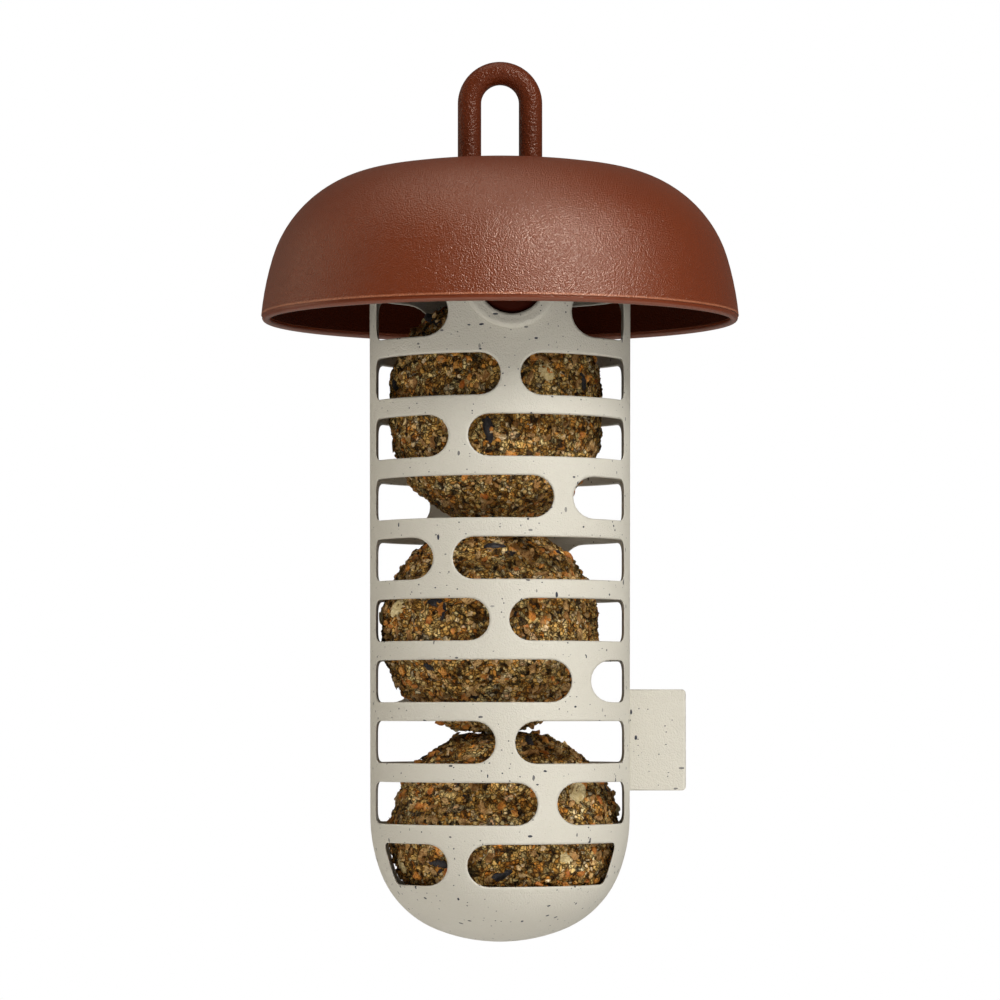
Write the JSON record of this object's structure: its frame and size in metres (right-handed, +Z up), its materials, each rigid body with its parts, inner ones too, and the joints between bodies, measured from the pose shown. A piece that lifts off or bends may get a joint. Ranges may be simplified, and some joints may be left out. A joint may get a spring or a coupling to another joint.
{
  "type": "suet feeder",
  "caption": "Hanging suet feeder: a domed roof with a loop, over a slotted cylindrical cage of suet balls that clips on with two press buttons.",
  "frame": {"origin": "where the hook bears, at the inner top of the hanging loop", "axes": "+Z up along the feeder's axis, -Y towards the front latch (5 degrees to its left), +X towards the side tab"},
  "size_m": [0.138, 0.138, 0.2542],
  "materials": {
    "rust_plastic_grained": "rust brown, leather-grained, satin",
    "rust_plastic_loop": "dark rust brown, grained, satin",
    "rust_plastic_inner": "dark rust brown, smooth matt",
    "rust_plastic_latch": "dark rust brown, smooth satin",
    "speckled_stone_plastic": "stone white recycled plastic with dark flecks, fine grained",
    "suet_and_seeds": "pressed suet with cracked seed and husks, rough"
  },
  "bodies": {
    "roof_assembly": {"roof": "rust_plastic_grained", "hanging_loop": "rust_plastic_loop", "latch_collar": "rust_plastic_inner"},
    "front_latch": {"latch_front": "rust_plastic_latch"},
    "rear_latch": {"latch_rear": "rust_plastic_latch"},
    "cage_assembly": {"cage": "speckled_stone_plastic", "suet_ball_upper": "suet_and_seeds", "suet_ball_middle": "suet_and_seeds", "suet_ball_lower": "suet_and_seeds"}
  },
  "joints": [
    {"name": "cage_release", "type": "slide", "parent": "roof_assembly", "child": "cage_assembly", "axis": [0, 0, -1], "range_m": [0, 0.045], "deforming": ["latch_front", "latch_rear"]},
    {"name": "front_latch_press", "type": "hinge", "parent": "roof_assembly", "child": "front_latch", "pos_m": [0.00297, -0.03392, -0.03255], "axis": [0.9962, 0.0872, 0], "range_deg": [0, 7.5], "stiffness_Nm_per_rad": 0.8},
    {"name": "rear_latch_press", "type": "hinge", "parent": "roof_assembly", "child": "rear_latch", "pos_m": [-0.00297, 0.03392, -0.03255], "axis": [-0.9962, -0.0872, 0], "range_deg": [0, 7.5], "stiffness_Nm_per_rad": 0.8}
  ]
}
